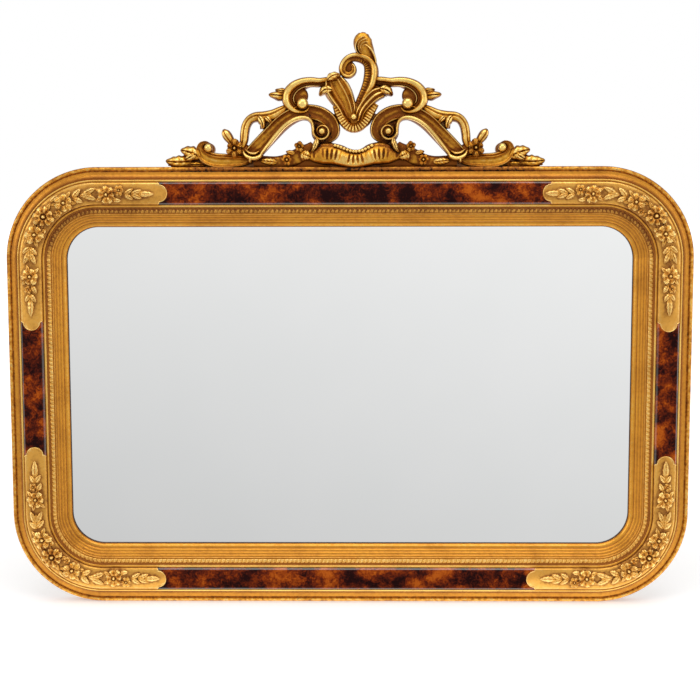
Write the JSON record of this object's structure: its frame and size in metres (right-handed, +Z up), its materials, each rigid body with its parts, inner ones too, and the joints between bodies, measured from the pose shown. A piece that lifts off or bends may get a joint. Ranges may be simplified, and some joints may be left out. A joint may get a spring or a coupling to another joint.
{
  "type": "wall mirror",
  "caption": "Landscape wall mirror in a round-cornered gilt moulding with tortoiseshell panels, flower garlands and a pierced scroll crest, hung by rings on its back.",
  "frame": {"origin": "on the wall plane, at the centre of the rounded rectangular frame", "axes": "+X to the viewer's right, +Z up, +Y towards the wall, so the glass faces -Y"},
  "size_m": [1.06, 0.0563, 0.8857],
  "materials": {
    "gilt_wood": "antique gold leaf over gesso, satin, worn on the edges",
    "gilt_ornament": "antique gold leaf with brown patina in the hollows",
    "tortoiseshell": "high-gloss tortoiseshell lacquer",
    "mirror": "silvered plain glass",
    "card": "matt grey-brown card",
    "plywood": "raw plywood",
    "plain_wood": "raw beech",
    "brass": "dull brass",
    "steel": "zinc plated",
    "rubber": "matt black rubber"
  },
  "bodies": {
    "frame": {"back_board": "plywood", "bottom_rail": "gilt_wood", "corner_block_bottom_left": "gilt_wood", "corner_block_bottom_right": "gilt_wood", "corner_block_top_left": "gilt_wood", "corner_block_top_right": "gilt_wood", "corner_cushion_bottom_left": "gilt_wood", "corner_cushion_bottom_right": "gilt_wood", "corner_cushion_top_left": "gilt_wood", "corner_cushion_top_right": "gilt_wood", "corner_dowels": "plain_wood", "crest_arm_left": "gilt_ornament", "crest_arm_right": "gilt_ornament", "crest_board": "gilt_wood", "crest_cup": "gilt_ornament", "crest_end_leaf_left": "gilt_ornament", "crest_end_leaf_right": "gilt_ornament", "crest_end_scroll_left": "gilt_ornament", "crest_end_scroll_right": "gilt_ornament", "crest_leaf_left": "gilt_ornament", "crest_leaf_right": "gilt_ornament", "crest_leaf_scroll_left": "gilt_ornament", "crest_leaf_scroll_right": "gilt_ornament", "crest_plates": "steel", "crest_plume": "gilt_ornament", "crest_shell": "gilt_ornament", "crest_swag_left": "gilt_ornament", "crest_swag_right": "gilt_ornament", "crest_tendril_left": "gilt_ornament", "crest_tendril_right": "gilt_ornament", "garland_bottom_left": "gilt_ornament", "garland_bottom_right": "gilt_ornament", "garland_top_left": "gilt_ornament", "garland_top_right": "gilt_ornament", "glass_wedges": "plain_wood", "hanger_strap_left": "steel", "hanger_strap_right": "steel", "left_stile": "gilt_wood", "mirror_glass": "mirror", "packing_sheet": "card", "panel_bottom": "tortoiseshell", "panel_left": "tortoiseshell", "panel_right": "tortoiseshell", "panel_top": "tortoiseshell", "right_stile": "gilt_wood", "sight_beading": "gilt_ornament", "top_rail": "gilt_wood", "turn_button_screws": "steel", "wall_bumpers": "rubber", "wood_screws": "steel"},
    "ring_left": {"hanger_ring_left": "steel"},
    "ring_right": {"hanger_ring_right": "steel"},
    "button_1": {"turn_button_1": "brass"},
    "button_2": {"turn_button_2": "brass"},
    "button_3": {"turn_button_3": "brass"},
    "button_4": {"turn_button_4": "brass"},
    "button_5": {"turn_button_5": "brass"},
    "button_6": {"turn_button_6": "brass"}
  },
  "joints": [
    {"name": "ring_left_hinge", "type": "hinge", "parent": "frame", "child": "ring_left", "pos_m": [-0.4895, -0.00455, 0.15], "axis": [1, 0, 0], "range_deg": [0, 180]},
    {"name": "ring_right_hinge", "type": "hinge", "parent": "frame", "child": "ring_right", "pos_m": [0.4895, -0.00455, 0.15], "axis": [1, 0, 0], "range_deg": [0, 180]},
    {"name": "button_1_pivot", "type": "hinge", "parent": "frame", "child": "button_1", "pos_m": [-0.2328, -0.0068, 0.269], "axis": [0, 1, 0], "range_deg": [-90, 90]},
    {"name": "button_2_pivot", "type": "hinge", "parent": "frame", "child": "button_2", "pos_m": [0.2328, -0.0068, 0.269], "axis": [0, 1, 0], "range_deg": [-90, 90]},
    {"name": "button_3_pivot", "type": "hinge", "parent": "frame", "child": "button_3", "pos_m": [0.458, -0.0068, 0], "axis": [0, 1, 0], "range_deg": [-90, 90]},
    {"name": "button_4_pivot", "type": "hinge", "parent": "frame", "child": "button_4", "pos_m": [0.2328, -0.0068, -0.269], "axis": [0, 1, 0], "range_deg": [-90, 90]},
    {"name": "button_5_pivot", "type": "hinge", "parent": "frame", "child": "button_5", "pos_m": [-0.2328, -0.0068, -0.269], "axis": [0, 1, 0], "range_deg": [-90, 90]},
    {"name": "button_6_pivot", "type": "hinge", "parent": "frame", "child": "button_6", "pos_m": [-0.458, -0.0068, 0], "axis": [0, 1, 0], "range_deg": [-90, 90]}
  ]
}
